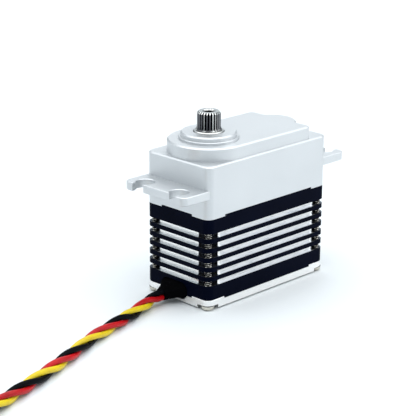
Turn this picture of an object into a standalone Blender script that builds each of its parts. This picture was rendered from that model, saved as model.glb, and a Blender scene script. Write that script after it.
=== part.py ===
"""Hobby servo motor: 40 x 20 mm size, aluminium case in three sections, splined output shaft.

Frame: millimetres in this file's names and numbers, scaled to metres. The origin is at the middle
of the case on the surface that it stands on, +X runs along the case away from the output shaft and
the lead, and +Z is up, along the output shaft.
"""

import math

import bmesh
import bpy
from mathutils import Vector

MM = 0.001
WELD = 1e-7  # metres, joins the loose caps of a filled curve
SCREW_MERGE = 1e-5  # metres, closes a turned shape on its axis and at its seam

# ---- case ------------------------------------------------------------------------------------
CASE_L, CASE_W, CORNER_R = 39.8, 20.2, 1.9
HALF_L, HALF_W = CASE_L / 2, CASE_W / 2
SEAM = 0.1  # gap between two case sections
COVER_Z, COVER_TOP, COVER_FLOOR = 0.4, 2.15, 1.1  # bottom cover: underside, rim, inside floor
MIDDLE_TOP, PLATE_Z0, PLATE_TOP = 22.1, 18.9, 21.6  # middle section: rim and the plate inside it
DECK_Z, ROOF_Z = 33.95, 33.0
TAB_X, TAB_Y, TAB_RISE = 5.3, 5.2, 0.45  # the silver sections reach further at each corner
PLATEAU_Z, PLATEAU_R, PLATEAU_END_X, PLATEAU_CORNER_R = 37.0, 9.5, 14.65, 1.2
LOBE_X, LOBE_Y, LOBE_R = 12.0, 0.3, 5.6
STEP_Z, STEP_R, COLLAR_Z, COLLAR_R, COLLAR_HOLE_R = 37.6, 6.95, 38.63, 6.46, 3.58
EDGE = 0.29  # chamfer on the machined edges

# ---- ears ------------------------------------------------------------------------------------
EAR_Z0, EAR_Z1, EAR_REACH, EAR_HALF_W, EAR_R = 26.45, 28.45, 27.1, 9.7, 1.6
SLOT_X, SLOT_Y, SLOT_R = 24.4, 5.43, 2.21
TONGUE_X, MOUTH_OUT = 26.3, 6.95  # the ear's middle ends here, and each mouth's outer side lies here

# ---- cooling grooves of the middle section -----------------------------------------------------
GROOVES, GROOVE_TOP, GROOVE_PITCH, GROOVE_H, GROOVE_DEPTH, SCOOP_R = 6, 18.38, 2.25, 1.2, 0.8, 2.35

# ---- case screws -------------------------------------------------------------------------------
SCREW_X, SCREW_Y = HALF_L - 1.55, HALF_W - 1.55
SCREW_R, SCREW_BORE_R, SCREW_TOP = 0.92, 1.05, 27.0
SCREW_HEAD_R, COUNTERBORE_R, HEAD_SEAT_Z = 1.53, 2.38, 1.22
CORNERS = ((-1, -1), (1, -1), (1, 1), (-1, 1))

# ---- gear train: every axis lies on the centre line ----------------------------------------------
PRESSURE = math.radians(20)
BACKLASH = 0.14  # share of a tooth's thickness
M_FIRST, M_SECOND, M_THIRD, M_FINAL = 0.3, 0.35, 0.4, 0.4
MOTOR_TEETH, FIRST_WHEEL = 10, 42
FIRST_PINION, SECOND_WHEEL = 9, 39
SECOND_PINION, THIRD_WHEEL = 11, 31
THIRD_PINION, OUTPUT_WHEEL = 11, 37


def centre_distance(module, teeth_a, teeth_b):
    return module * (teeth_a + teeth_b) / 2


OUTPUT_X = -9.77
CENTRE_X = OUTPUT_X + centre_distance(M_FINAL, THIRD_PINION, OUTPUT_WHEEL)
SECOND_X = CENTRE_X + centre_distance(M_THIRD, SECOND_PINION, THIRD_WHEEL)
MOTOR_X = CENTRE_X + centre_distance(M_FIRST, MOTOR_TEETH, FIRST_WHEEL)
PIN_R, PIN_FIT = 0.75, 0.04
LEVEL_1, LEVEL_2 = (22.35, 23.85), (24.4, 26.2)
LEVEL_3, LEVEL_4 = (26.9, 28.8), (29.4, 32.2)
PRESS = 0.02  # gap where one piece is pressed on another

# ---- output shaft and bearings -------------------------------------------------------------------
SPLINE_TEETH, SPLINE_R, SPLINE_ROOT_R, SPLINE_Z0, SPLINE_Z1 = 25, 2.72, 2.4, 38.9, 43.3
SHAFT_R, FLANGE_R, FLANGE_Z, STEM_R, STEM_Z0 = 3.45, 4.1, 34.6, 2.46, 18.9
HORN_HOLE_R, HORN_HOLE_Z = 1.25, 35.3
UPPER_BEARING = {"bore": 3.5, "outer": 5.5, "z0": 34.7, "z1": 37.7, "balls": 9}
LOWER_BEARING = {"bore": 2.5, "outer": 4.5, "z0": 19.1, "z1": 21.5, "balls": 7}
RACE_WALL, BALL_FIT = 0.42, 0.05

# ---- motor ---------------------------------------------------------------------------------------
MOTOR_R, MOTOR_Z0, MOTOR_Z1, CAN_WALL, BOSS_R, BOSS_Z = 7.85, 5.8, 18.7, 0.5, 3.0, 19.6
MOTOR_SHAFT_R, BUSH_R, MOTOR_SCREW_Y = 0.72, 1.8, 5.2

# ---- electronics ---------------------------------------------------------------------------------
BOARD_Z0, BOARD_Z1, BOARD_X0, BOARD_X1, BOARD_HALF_W = 3.6, 4.4, -15.0, 16.4, 7.6
POT_HALF, POT_Z0, POT_Z1, POT_SHAFT_R = 4.5, 12.4, 18.2, 1.4

# ---- lead: three insulated wires twisted together, about 300 mm long ------------------------------
CORD_D = 2.8
RELIEF_Y, RELIEF_Z, RELIEF_HALF_W, RELIEF_HALF_H = 0.8, 3.0, 4.25, 2.05
RELIEF_TIP = Vector((-23.8, 1.2, 2.3))
LEAD_ROUTE = (
    (-24.1, 1.2, 2.3), (-27.2, 1.2, 1.75), (-31.0, 0.2, 1.45), (-34.8, -1.0, 1.4), (-42.7, -3.1, 1.4),
    (-50.3, -5.2, 1.4), (-57.5, -8.0, 1.4), (-65.5, -11.0, 1.4), (-73.5, -13.6, 1.4), (-81.0, -15.9, 1.5),
    (-87.6, -17.9, 1.7),
)
LEAD_STEP = 6.0
COIL_CENTRE, COIL_R0, COIL_TURNS = Vector((-105.6, -6.0)), 18.2, 2.0
COIL_LIFT = 0.35  # the tie passes under the turns
COIL_IN_R, COIL_OUT_R = 11.2, 19.7
TAIL_R, TAIL_START, TAIL_END = 5.8, 84, 117  # bend inside the coil, in degrees of turn
PLUG_L, PLUG_W, PLUG_H, CONTACT_PITCH = 14.0, 7.8, 2.7, 2.54

COLOURS = {
    "silver": ((0.80, 0.82, 0.85), 0.38, 1.0),
    "black_anodised": ((0.015, 0.017, 0.028), 0.42, 0.6),
    "steel": ((0.62, 0.61, 0.59), 0.28, 1.0),
    "dark_steel": ((0.22, 0.22, 0.24), 0.33, 1.0),
    "brass": ((0.78, 0.60, 0.28), 0.32, 1.0),
    "copper": ((0.72, 0.33, 0.16), 0.40, 1.0),
    "magnet": ((0.10, 0.10, 0.11), 0.55, 0.3),
    "black_plastic": ((0.02, 0.02, 0.022), 0.50, 0.0),
    "rubber": ((0.012, 0.012, 0.013), 0.62, 0.0),
    "board_green": ((0.02, 0.16, 0.07), 0.45, 0.0),
    "red": ((0.70, 0.02, 0.02), 0.38, 0.0),
    "yellow": ((0.88, 0.66, 0.03), 0.38, 0.0),
    "white": ((0.85, 0.85, 0.83), 0.45, 0.0),
}


# ---- scene helpers -------------------------------------------------------------------------------
def clear_scene():
    for item in list(bpy.data.objects):
        bpy.data.objects.remove(item, do_unlink=True)


def new_collection(name):
    collection = bpy.data.collections.new(name)
    bpy.context.scene.collection.children.link(collection)
    return collection


def material(name):
    found = bpy.data.materials.get(name)
    if found:
        return found
    colour, roughness, metallic = COLOURS[name]
    made = bpy.data.materials.new(name)
    made.use_nodes = True
    shader = made.node_tree.nodes["Principled BSDF"]
    shader.inputs["Base Color"].default_value = (*colour, 1.0)
    shader.inputs["Roughness"].default_value = roughness
    shader.inputs["Metallic"].default_value = metallic
    return made


def place(name, mesh, look, at=(0, 0)):
    """Links a mesh as a part, or as a cutter when look is None. at is its axis in the XY plane."""
    made = bpy.data.objects.new(name, mesh)
    made.location = (at[0] * MM, at[1] * MM, 0)
    if look is None:
        CUTTERS.objects.link(made)
        made.hide_render = True
        made.display_type = "WIRE"
    else:
        PARTS.objects.link(made)
        mesh.materials.append(material(look))
    return made


def smooth(made, angle=35):
    made.data.shade_smooth()
    made.data.set_sharp_from_angle(angle=math.radians(angle))
    return made


# ---- outlines, in millimetres, counter-clockwise ---------------------------------------------------
def arc(centre, radius, start, end, segments):
    """Points from start to end degrees round centre, both ends included."""
    steps = [math.radians(start + (end - start) * i / segments) for i in range(segments + 1)]
    return [(centre[0] + radius * math.cos(a), centre[1] + radius * math.sin(a)) for a in steps]


def circle(radius, segments=32, centre=(0, 0)):
    return arc(centre, radius, 0, 360, segments)[:-1]


def rounded_rectangle(half_x, half_y, radius, segments=6, centre=(0, 0)):
    points = []
    for turn, (sx, sy) in zip((180, 270, 0, 90), CORNERS):
        middle = (centre[0] + sx * (half_x - radius), centre[1] + sy * (half_y - radius))
        points += arc(middle, radius, turn, turn + 90, segments)
    return points


def scooped_rectangle(half_x, half_y, radius, segments=7):
    """A rectangle whose corners are cut back by a circle round each case screw."""
    start = -math.degrees(math.acos((half_x - SCREW_X) / radius))
    end = math.degrees(math.asin((half_y - SCREW_Y) / radius)) - 180
    corner = arc((SCREW_X, SCREW_Y), radius, start, -360 - end, segments)
    points = []
    for sx, sy in ((1, 1), (-1, 1), (-1, -1), (1, -1)):
        ordered = corner if sx == sy else reversed(corner)
        points += [(sx * x, sy * y) for x, y in ordered]
    return points


def plus_shape(arm_x, arm_y, reach):
    """Two crossed bars, which reach past the case."""
    quarter = [(reach, arm_y), (arm_x, arm_y), (arm_x, reach)]
    points = []
    for sx, sy in ((1, 1), (-1, 1), (-1, -1), (1, -1)):
        ordered = quarter if sx == sy else reversed(quarter)
        points += [(sx * x, sy * y) for x, y in ordered]
    return points


def plateau_outline():
    """Round over the output shaft, square at the far end, with a lobe over the motor pinion."""
    centre = (OUTPUT_X, 0)
    inset_x, inset_y = PLATEAU_END_X - PLATEAU_CORNER_R, PLATEAU_R - PLATEAU_CORNER_R
    spread = math.degrees(math.acos((PLATEAU_END_X - LOBE_X) / LOBE_R))
    points = arc(centre, PLATEAU_R, 90, 270, 28)
    points += arc((inset_x, -inset_y), PLATEAU_CORNER_R, 270, 360, 5)
    points += arc((LOBE_X, LOBE_Y), LOBE_R, -spread, spread, 14)
    points += arc((inset_x, inset_y), PLATEAU_CORNER_R, 0, 90, 5)
    return points


def ear_outline(side):
    """Two round holes, each open at the tip; side is -1 at the output end and 1 at the motor end."""
    outer = math.degrees(math.asin((MOUTH_OUT - SLOT_Y) / SLOT_R))
    inner = math.degrees(math.acos((TONGUE_X - SLOT_X) / SLOT_R))
    points = [(HALF_L - 1.2, -EAR_HALF_W)]
    points += arc((EAR_REACH - EAR_R, -EAR_HALF_W + EAR_R), EAR_R, 270, 360, 6)
    points.append((EAR_REACH, -MOUTH_OUT))
    points += arc((SLOT_X, -SLOT_Y), SLOT_R, -outer, inner - 360, 24)
    points += arc((SLOT_X, SLOT_Y), SLOT_R, -inner, outer - 360, 24)
    points.append((EAR_REACH, MOUTH_OUT))
    points += arc((EAR_REACH - EAR_R, EAR_HALF_W - EAR_R), EAR_R, 0, 90, 6)
    points.append((HALF_L - 1.2, EAR_HALF_W))
    return points if side > 0 else [(-x, y) for x, y in reversed(points)]


def gear_outline(teeth, module, phase):
    """Straight-flanked teeth that stay inside the involute; phase is a tooth's angle in radians."""
    pitch_r = teeth * module / 2
    base_r = pitch_r * math.cos(PRESSURE)
    root_r, tip_r = pitch_r - 1.25 * module, pitch_r + 0.95 * module

    def half_angle(radius):
        at_radius = math.acos(min(1.0, base_r / max(radius, base_r)))
        turned_in = (math.tan(PRESSURE) - PRESSURE) - (math.tan(at_radius) - at_radius)
        return math.pi / (2 * teeth) * (1 - BACKLASH) + turned_in

    points = []
    for tooth in range(teeth):
        middle = phase + tooth * 2 * math.pi / teeth
        for radius, side in ((root_r, -1), (tip_r, -1), (tip_r, 1), (root_r, 1)):
            angle = middle + side * half_angle(radius)
            points.append((radius * math.cos(angle), radius * math.sin(angle)))
    return points


def meshing_phase(teeth):
    """Turns a gear so that a gap faces -X, where its partner has a tooth."""
    return math.pi + math.pi / teeth


# ---- solids ----------------------------------------------------------------------------------------
def prism(name, loops, z0, z1, look=None, at=(0, 0)):
    """A flat outline of any thickness; the loops after the first are holes through it."""
    curve = bpy.data.curves.new(name, "CURVE")
    curve.dimensions = "2D"
    curve.fill_mode = "BOTH"
    curve.extrude = (z1 - z0) / 2 * MM
    for loop in loops:
        spline = curve.splines.new("POLY")
        spline.points.add(len(loop) - 1)
        for point, (x, y) in zip(spline.points, loop):
            point.co = (x * MM, y * MM, 0, 1)
        spline.use_cyclic_u = True
    holder = bpy.data.objects.new(name + "_curve", curve)
    bpy.context.scene.collection.objects.link(holder)
    graph = bpy.context.evaluated_depsgraph_get()
    mesh = bpy.data.meshes.new_from_object(holder.evaluated_get(graph))
    bpy.data.objects.remove(holder, do_unlink=True)
    mesh.materials.clear()
    work = bmesh.new()
    work.from_mesh(mesh)
    bmesh.ops.remove_doubles(work, verts=work.verts, dist=WELD)
    if len(loops) == 1:
        bmesh.ops.dissolve_limit(work, angle_limit=math.radians(0.5), verts=work.verts, edges=work.edges)
    bmesh.ops.translate(work, verts=work.verts, vec=(0, 0, (z0 + z1) / 2 * MM))
    bmesh.ops.recalc_face_normals(work, faces=work.faces)
    work.to_mesh(mesh)
    work.free()
    return place(name, mesh, look, at)


def turned(name, profile, look=None, at=(0, 0), steps=32, closed=False):
    """A turned shape. The profile is (radius, height), down its outer side."""
    mesh = bpy.data.meshes.new(name)
    edges = [(i, i + 1) for i in range(len(profile) - 1)]
    if closed:
        edges.append((len(profile) - 1, 0))
    mesh.from_pydata([(r * MM, 0, z * MM) for r, z in profile], edges, [])
    made = place(name, mesh, look, at)
    spin = made.modifiers.new("turn", "SCREW")
    spin.steps = spin.render_steps = steps
    spin.use_merge_vertices = True
    spin.merge_threshold = SCREW_MERGE
    spin.use_smooth_shade = look is not None
    return made


def rod(name, radius, z0, z1, look=None, at=(0, 0), steps=24):
    return turned(name, [(0, z1), (radius, z1), (radius, z0), (0, z0)], look, at, steps)


def ring(name, inner, outer, z0, z1, look=None, at=(0, 0), steps=32):
    corners = [(outer, z1), (outer, z0), (inner, z0), (inner, z1)]
    return turned(name, corners, look, at, steps, closed=True)


def block(name, low, high, look=None):
    mesh = bpy.data.meshes.new(name)
    work = bmesh.new()
    bmesh.ops.create_cube(work, size=1)
    size = [(b - a) * MM for a, b in zip(low, high)]
    bmesh.ops.scale(work, verts=work.verts, vec=size)
    bmesh.ops.translate(work, verts=work.verts, vec=[(a + b) / 2 * MM for a, b in zip(low, high)])
    work.to_mesh(mesh)
    work.free()
    return place(name, mesh, look)


def loft(name, rings, look=None, at=(0, 0)):
    """Joins rings of equally many points, given in order, and closes both ends."""
    mesh = bpy.data.meshes.new(name)
    work = bmesh.new()
    rows = [[work.verts.new([c * MM for c in point]) for point in loop] for loop in rings]
    count = len(rows[0])
    for lower, upper in zip(rows, rows[1:]):
        for i in range(count):
            j = (i + 1) % count
            work.faces.new((lower[i], lower[j], upper[j], upper[i]))
    work.faces.new(rows[0])
    work.faces.new(rows[-1])
    bmesh.ops.recalc_face_normals(work, faces=work.faces)
    work.to_mesh(mesh)
    work.free()
    return place(name, mesh, look, at)


def tube(name, points, radius, look, sides=2):
    """A wire or cord along points, given in millimetres."""
    curve = bpy.data.curves.new(name, "CURVE")
    curve.dimensions = "3D"
    curve.bevel_depth = radius * MM
    curve.bevel_resolution = sides
    curve.use_fill_caps = True
    spline = curve.splines.new("POLY")
    spline.points.add(len(points) - 1)
    for target, point in zip(spline.points, points):
        target.co = (*[c * MM for c in point], 1)
    curve.materials.append(material(look))
    made = bpy.data.objects.new(name, curve)
    PARTS.objects.link(made)
    return made


def smooth_route(points, step):
    """Points about step apart on the Catmull-Rom curve through the given ones."""
    nodes = [Vector(p) for p in points]
    nodes = [2 * nodes[0] - nodes[1], *nodes, 2 * nodes[-1] - nodes[-2]]
    route = [nodes[1]]
    for a, b, c, d in zip(nodes, nodes[1:], nodes[2:], nodes[3:]):
        count = max(1, round((c - b).length / step))
        for i in range(1, count + 1):
            t = i / count
            bend = (2 * a - 5 * b + 4 * c - d) * t**2 + (3 * b - 3 * c + d - a) * t**3
            route.append((2 * b + (c - a) * t + bend) / 2)
    return route


def chamfer(made, width=EDGE, angle=50):
    bevel = made.modifiers.new("chamfer", "BEVEL")
    bevel.width = width * MM
    bevel.segments = 1
    bevel.limit_method = "ANGLE"
    bevel.angle_limit = math.radians(angle)
    bevel.use_clamp_overlap = True


def combine(made, tool, operation):
    step = made.modifiers.new(tool.name, "BOOLEAN")
    step.operation = operation
    step.solver = "EXACT"
    step.object = tool


def cut(made, *tools):
    for tool in tools:
        combine(made, tool, "DIFFERENCE")


def join(made, *tools):
    for tool in tools:
        combine(made, tool, "UNION")


def gear(name, teeth, module, z, x, bore, phase, look, bore_steps=20):
    loops = [gear_outline(teeth, module, phase), circle(bore, bore_steps)]
    return prism(name, loops, z[0], z[1], look, (x, 0))


# ---- case ------------------------------------------------------------------------------------------
def screw_holes(name, radius, z0, z1):
    tools = []
    for number, (sx, sy) in enumerate(CORNERS, 1):
        tools.append(rod(f"{name}_{number}", radius, z0, z1, None, (sx * SCREW_X, sy * SCREW_Y)))
    return tools


def relief_opening():
    """The oval hole for the strain relief, shared by the middle section and the bottom cover."""
    loop = rounded_rectangle(RELIEF_HALF_H, RELIEF_HALF_W, RELIEF_HALF_H - 0.05, 5)
    rings = [[(x, RELIEF_Y + v, RELIEF_Z + u) for u, v in loop] for x in (-HALF_L - 1, -HALF_L + 3.2)]
    return loft("relief_opening", rings)


def make_bottom_cover(opening):
    top = COVER_TOP + TAB_RISE - 0.05
    cover = prism("bottom_cover", [rounded_rectangle(HALF_L, HALF_W, CORNER_R)], COVER_Z, top, "silver")
    chamfer(cover, 0.12)
    hollow = prism("cover_hollow", [scooped_rectangle(HALF_L - 1.3, HALF_W - 1.3, 3.4)], COVER_FLOOR, top + 1)
    arms = plus_shape(HALF_L - TAB_X, HALF_W - TAB_Y, CASE_L)
    sunk_middle = prism("cover_sunk_middle", [arms], COVER_TOP, top + 1)
    cut(cover, sunk_middle, hollow, opening)
    stepped = [(0, top + 1), (SCREW_BORE_R, top + 1), (SCREW_BORE_R, HEAD_SEAT_Z),
               (COUNTERBORE_R, HEAD_SEAT_Z), (COUNTERBORE_R, -1), (0, -1)]
    for number, (sx, sy) in enumerate(CORNERS, 1):
        cut(cover, turned(f"counterbore_{number}", stepped, None, (sx * SCREW_X, sy * SCREW_Y), 28))
    return cover


def make_middle_case(opening):
    bottom = COVER_TOP + SEAM
    outline = rounded_rectangle(HALF_L, HALF_W, CORNER_R)
    middle = prism("middle_case", [outline], bottom, MIDDLE_TOP, "black_anodised")
    arms = plus_shape(HALF_L - TAB_X - SEAM, HALF_W - TAB_Y - SEAM, CASE_L)
    around = rounded_rectangle(CASE_L, CASE_L, 1)
    for place_name, z0, z1 in (
        ("lower", 0, bottom + TAB_RISE - 0.05),
        ("upper", MIDDLE_TOP - TAB_RISE, MIDDLE_TOP + 1),
    ):
        blocks = prism(f"corner_relief_{place_name}", [arms], z0, z1)
        corners = prism(f"corner_steps_{place_name}", [around], z0, z1)
        cut(corners, blocks)
        cut(middle, corners)
    floor = scooped_rectangle(HALF_L - GROOVE_DEPTH, HALF_W - GROOVE_DEPTH, SCOOP_R)
    for number in range(GROOVES):
        z1 = GROOVE_TOP - number * GROOVE_PITCH
        cut(middle, prism(f"groove_{number + 1}", [around, floor], z1 - GROOVE_H, z1))
    hollow = scooped_rectangle(HALF_L - 2.0, HALF_W - 1.97, SCOOP_R + 0.6)
    cut(middle, prism("middle_hollow", [hollow], 0, PLATE_Z0))
    gear_floor = scooped_rectangle(HALF_L - 1.5, HALF_W - 1.5, 2.4)
    cut(middle, prism("gear_floor_hollow", [gear_floor], PLATE_TOP, MIDDLE_TOP + 1))
    cut(middle, *screw_holes("middle_hole", SCREW_BORE_R, 0, MIDDLE_TOP + 1))
    bearing = LOWER_BEARING
    output, motor = (OUTPUT_X, 0), (MOTOR_X, 0)
    cut(middle, rod("lower_bearing_seat", bearing["outer"] + PRESS, bearing["z0"] - 0.05, 23, None,
                    output, 32))
    cut(middle, rod("stem_hole", bearing["outer"] - 0.7, PLATE_Z0 - 1, 20, None, output))
    cut(middle, rod("motor_boss_hole", BOSS_R + 0.1, PLATE_Z0 - 1, 23, None, motor))
    for side in (-1, 1):
        at = (MOTOR_X, side * MOTOR_SCREW_Y)
        cut(middle, rod(f"motor_screw_hole_{side + 2}", 0.9, PLATE_Z0 - 1, 23, None, at, 16))
        cut(middle, rod(f"motor_screw_seat_{side + 2}", 1.7, 20.4, 23, None, at, 20))
    cut(middle, rod("centre_pin_seat", PIN_R + PRESS, 20.1, 23, None, (CENTRE_X, 0), 20))
    cut(middle, opening)
    return middle


def make_top_case():
    z0 = MIDDLE_TOP - TAB_RISE + SEAM
    outline = rounded_rectangle(HALF_L, HALF_W, CORNER_R)
    top = prism("top_case", [outline], z0 - 1, DECK_Z, "silver")
    chamfer(top)
    cut(top, prism("top_underside", [rounded_rectangle(CASE_L, CASE_L, 1)], z0 - 2, z0))
    for name, side in (("ear_output_end", -1), ("ear_motor_end", 1)):
        ear = prism(name, [ear_outline(side)], EAR_Z0, EAR_Z1)
        chamfer(ear, 0.2)
        join(top, ear)
    plateau = prism("plateau", [plateau_outline()], DECK_Z - 0.8, PLATEAU_Z)
    chamfer(plateau, 0.32)
    collar = turned("collar", [(0, COLLAR_Z), (COLLAR_R - EDGE, COLLAR_Z), (COLLAR_R, COLLAR_Z - EDGE),
                               (COLLAR_R, STEP_Z), (STEP_R - 0.12, STEP_Z), (STEP_R, STEP_Z - 0.12),
                               (STEP_R, 35.5), (0, 35.5)], None, (OUTPUT_X, 0), 48)
    join(top, plateau, collar)
    arms = plus_shape(HALF_L - TAB_X, HALF_W - TAB_Y, CASE_L)
    cut(top, prism("top_sunk_middle", [arms], z0 - 1, MIDDLE_TOP + SEAM))
    hollow = scooped_rectangle(HALF_L - 1.35, HALF_W - 1.35, 2.3)
    cut(top, prism("gear_hollow", [hollow], z0 - 1, ROOF_Z))
    output = (OUTPUT_X, 0)
    bearing = UPPER_BEARING
    cut(top, rod("upper_bearing_seat", bearing["outer"] + PRESS, ROOF_Z - 1, bearing["z1"] + 0.05, None,
                 output, 32))
    mouth = [(0, COLLAR_Z + 0.5), (COLLAR_HOLE_R + 0.56, COLLAR_Z + 0.5), (COLLAR_HOLE_R, COLLAR_Z - 0.06),
             (COLLAR_HOLE_R, 36.5), (0, 36.5)]
    cut(top, turned("collar_hole", mouth, None, output, 40))
    cut(top, *screw_holes("top_screw_hole", SCREW_BORE_R, z0 - 1, SCREW_TOP + 0.6))
    for name, x in (("centre", CENTRE_X), ("second", SECOND_X)):
        cut(top, rod(f"{name}_pin_socket", PIN_R + PRESS, ROOF_Z - 1, 35.6, None, (x, 0), 20))
    return top


def make_case_screws():
    profile = [(0, SCREW_TOP), (SCREW_R - 0.25, SCREW_TOP), (SCREW_R, SCREW_TOP - 0.5),
               (SCREW_R, HEAD_SEAT_Z - 0.02), (SCREW_HEAD_R, HEAD_SEAT_Z - 0.02), (SCREW_HEAD_R, 0.65),
               (1.35, 0.22), (0.88, 0), (0, 0)]
    for number, (sx, sy) in enumerate(CORNERS, 1):
        x, y = sx * SCREW_X, sy * SCREW_Y
        screw = turned(f"case_screw_{number}", profile, "steel", (x, y), 18)
        recess_x = block(f"recess_x_{number}", (x - 0.78, y - 0.19, -0.5), (x + 0.78, y + 0.19, 0.55))
        recess_y = block(f"recess_y_{number}", (x - 0.19, y - 0.78, -0.5), (x + 0.19, y + 0.78, 0.55))
        cut(screw, recess_x, recess_y)


# ---- output shaft, bearings and gears ----------------------------------------------------------------
def spline_ring(tip_r, root_r, z):
    points = []
    for tooth in range(SPLINE_TEETH):
        middle = tooth * 2 * math.pi / SPLINE_TEETH
        quarter = math.pi / SPLINE_TEETH
        for radius, offset in ((root_r, -0.8), (tip_r, -0.3), (tip_r, 0.3), (root_r, 0.8)):
            angle = middle + offset * quarter
            points.append((radius * math.cos(angle), radius * math.sin(angle), z))
    return points


def make_output_shaft():
    at = (OUTPUT_X, 0)
    seat_r = 3.0
    profile = [(0, SPLINE_Z0), (SHAFT_R - 0.15, SPLINE_Z0), (SHAFT_R, SPLINE_Z0 - 0.15), (SHAFT_R, FLANGE_Z),
               (FLANGE_R, FLANGE_Z), (FLANGE_R, LEVEL_4[1] + 0.05), (seat_r, LEVEL_4[1] + 0.05),
               (seat_r, LEVEL_4[0]), (2.75, LEVEL_4[0] - 0.1), (2.75, 21.75), (STEM_R, 21.75),
               (STEM_R, STEM_Z0), (0, STEM_Z0)]
    shaft = turned("output_shaft", profile, "steel", at, 32)
    spline = loft("spline", [
        spline_ring(2.6, 2.5, SPLINE_Z0 - 0.3),
        spline_ring(3.05, 2.92, SPLINE_Z0 + 0.12),
        spline_ring(2.84, 2.5, SPLINE_Z0 + 0.42),
        spline_ring(SPLINE_R, SPLINE_ROOT_R, SPLINE_Z0 + 0.8),
        spline_ring(SPLINE_R, SPLINE_ROOT_R, SPLINE_Z1 - 0.42),
        spline_ring(SPLINE_ROOT_R - 0.02, SPLINE_ROOT_R - 0.12, SPLINE_Z1),
    ], None, at)
    join(shaft, spline)
    hole = [(0, SPLINE_Z1 + 1), (HORN_HOLE_R + 0.3 + 1, SPLINE_Z1 + 1), (HORN_HOLE_R, SPLINE_Z1 - 0.3),
            (HORN_HOLE_R, HORN_HOLE_Z), (0, HORN_HOLE_Z)]
    cut(shaft, turned("horn_screw_hole", hole, None, at, 20))
    cut(shaft, rod("potentiometer_socket", POT_SHAFT_R + PRESS, STEM_Z0 - 1, 22.5, None, at, 20))
    gear("output_gear", OUTPUT_WHEEL, M_FINAL, LEVEL_4, OUTPUT_X, seat_r + PRESS, 0, "steel", 32)


def make_bearing(label, size):
    at = (OUTPUT_X, 0)
    inner_r, outer_r = size["bore"] + RACE_WALL, size["outer"] - RACE_WALL
    ring(f"{label}_bearing_inner_race", size["bore"], inner_r, size["z0"], size["z1"], "steel", at)
    ring(f"{label}_bearing_outer_race", outer_r, size["outer"], size["z0"], size["z1"], "steel", at)
    middle_r, middle_z = (inner_r + outer_r) / 2, (size["z0"] + size["z1"]) / 2
    ball_r = (outer_r - inner_r) / 2 - BALL_FIT
    cage = ring(f"{label}_bearing_balls", middle_r - 0.2, middle_r + 0.2, middle_z - 0.45, middle_z + 0.45,
                "brass", at, 27)
    mesh = bpy.data.meshes.new(f"{label}_balls")
    work = bmesh.new()
    for number in range(size["balls"]):
        angle = number * 2 * math.pi / size["balls"]
        ball = bmesh.ops.create_uvsphere(work, u_segments=8, v_segments=5, radius=ball_r * MM)["verts"]
        offset = Vector((math.cos(angle) * middle_r, math.sin(angle) * middle_r, middle_z)) * MM
        bmesh.ops.translate(work, verts=ball, vec=offset)
    work.to_mesh(mesh)
    work.free()
    join(cage, place(f"{label}_ball_set", mesh, None, at))


def make_gear_train():
    bore = PIN_R + PIN_FIT
    hub = bore + 0.3
    below = 0.12
    pairs = (
        ("first", CENTRE_X, FIRST_WHEEL, M_FIRST, LEVEL_1, 0, FIRST_PINION, M_SECOND, LEVEL_2, 0),
        ("second", SECOND_X, SECOND_WHEEL, M_SECOND, LEVEL_2, meshing_phase(SECOND_WHEEL),
         SECOND_PINION, M_THIRD, LEVEL_3, meshing_phase(SECOND_PINION)),
        ("third", CENTRE_X, THIRD_WHEEL, M_THIRD, LEVEL_3, 0, THIRD_PINION, M_FINAL, LEVEL_4,
         meshing_phase(THIRD_PINION)),
    )
    for name, x, wheel, module, level, phase, pinion, small, upper, turn in pairs:
        look = "brass" if name == "first" else "steel"
        gear(f"{name}_gear_wheel", wheel, module, level, x, hub + PRESS, phase, look)
        teeth = (level[1] + 0.05, upper[1] + 0.2)
        made = gear(f"{name}_gear_pinion", pinion, small, teeth, x, bore, turn, "steel")
        loops = [circle(hub, 20), circle(bore, 20)]
        join(made, prism(f"{name}_gear_hub", loops, level[0] - below, teeth[0] + 0.3, None, (x, 0)))
    rod("centre_axle_pin", PIN_R, 20.15, 35.5, "steel", (CENTRE_X, 0), 20)
    rod("second_axle_pin", PIN_R, LEVEL_2[0] - 0.15, 35.5, "steel", (SECOND_X, 0), 20)


# ---- motor -------------------------------------------------------------------------------------------
def rotor_outline():
    poles = 5
    points = []
    for pole in range(poles):
        middle = pole * 360 / poles
        points += arc((0, 0), 5.6, middle - 28, middle + 28, 5)
        points += arc((0, 0), 4.1, middle + 32, middle + 40, 1)
    return points


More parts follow.
